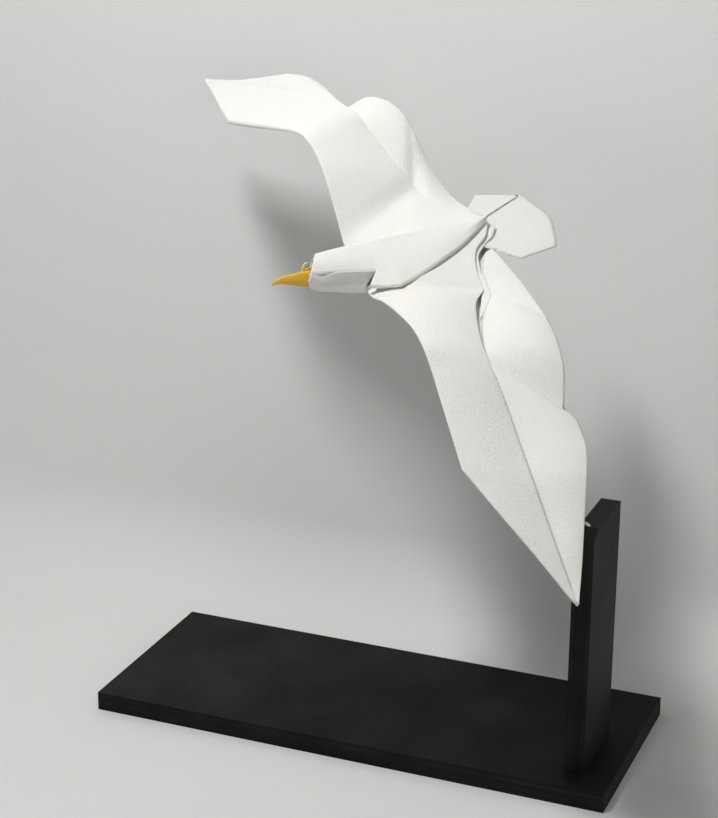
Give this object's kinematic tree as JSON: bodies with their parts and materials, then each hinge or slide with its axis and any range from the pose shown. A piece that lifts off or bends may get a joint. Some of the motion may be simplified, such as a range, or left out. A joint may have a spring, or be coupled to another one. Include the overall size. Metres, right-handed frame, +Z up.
{
  "type": "folded paper seagull on a stand",
  "caption": "Folded paper seagull gliding on spread wings, held by a bent wire over a long black base with an upright board.",
  "frame": {"origin": "centre of the underside of the base board", "axes": "+X along the base board towards the post, +Y to the back, +Z up"},
  "size_m": [0.309, 0.2329, 0.3528],
  "materials": {
    "white_paper": "rough, grained, with a painted yellow beak",
    "wire_steel": "satin",
    "black_board": "black paper skin, matt"
  },
  "bodies": {
    "root": {"seagull": "white_paper", "support_wire": "wire_steel", "post": "black_board", "base_board": "black_board"}
  },
  "joints": []
}
